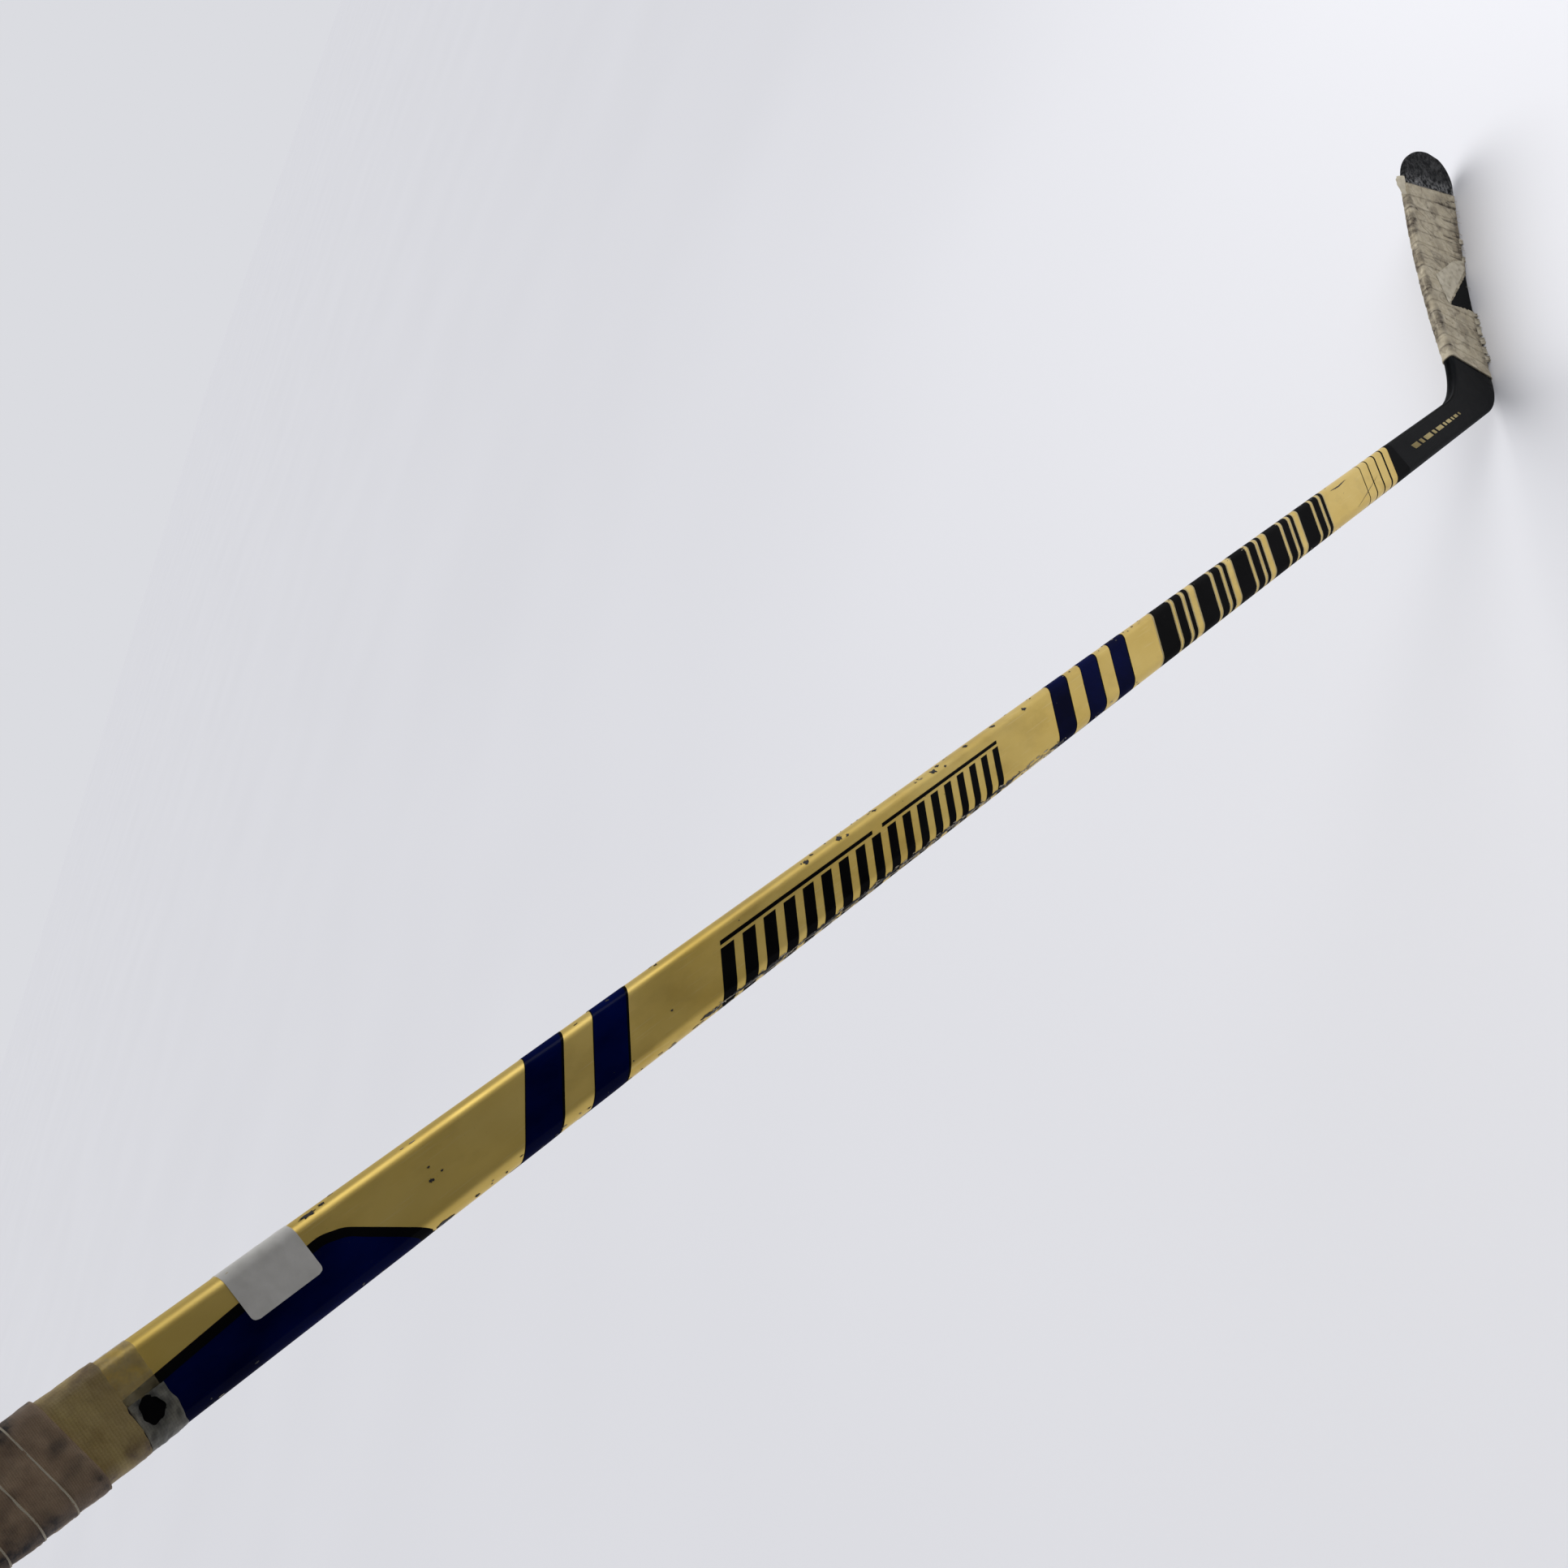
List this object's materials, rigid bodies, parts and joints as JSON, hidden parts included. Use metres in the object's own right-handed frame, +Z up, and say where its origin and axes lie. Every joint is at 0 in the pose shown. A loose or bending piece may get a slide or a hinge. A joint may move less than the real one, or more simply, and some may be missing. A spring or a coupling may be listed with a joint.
{
  "type": "ice hockey stick",
  "caption": "Left-handed senior ice hockey stick: hollow composite shaft with grip tape, tapered hosel and curved, taped blade with a rounded toe.",
  "frame": {"origin": "the point where the centre line of the shaft meets the ice, at the heel, with the stick in its playing position", "axes": "+X from heel to toe along the ice, +Z up from the ice, -Y out of the forehand face; the shaft rises towards -X at 45 degrees"},
  "size_m": [1.3726, 0.0611, 1.0904],
  "materials": {
    "shaft_paint": "gold paint over carbon fibre, clear coat, chipped at the corners",
    "blade_carbon": "black clear-coated carbon fibre, scuffed",
    "inner_carbon": "bare moulded carbon fibre",
    "foam": "rigid structural foam",
    "glue": "hot-melt glue",
    "plug": "moulded plastic",
    "white_tape": "white cotton cloth tape, worn and dirty",
    "brown_tape": "brown cloth tape, rubbed smooth",
    "old_tape": "yellowed cloth tape",
    "clear_tape": "clear film tape, creased",
    "scrap_tape": "torn whitish film",
    "label": "blank satin label"
  },
  "bodies": {
    "root": {"shaft_tube": "shaft_paint", "butt_plug": "plug", "hosel_tenon": "inner_carbon", "glue_sleeve": "glue", "hosel_core": "foam", "blade_skin_forehand": "blade_carbon", "blade_skin_backhand": "blade_carbon", "blade_core_upper": "foam", "blade_core_lower": "foam", "blade_rib": "inner_carbon", "blade_tape": "white_tape", "blade_tape_strip": "white_tape", "knob_core": "brown_tape", "grip_base_tape": "old_tape", "grip_tape": "brown_tape", "clear_tape": "clear_tape", "tape_scrap": "scrap_tape", "owner_label": "label"}
  },
  "joints": []
}
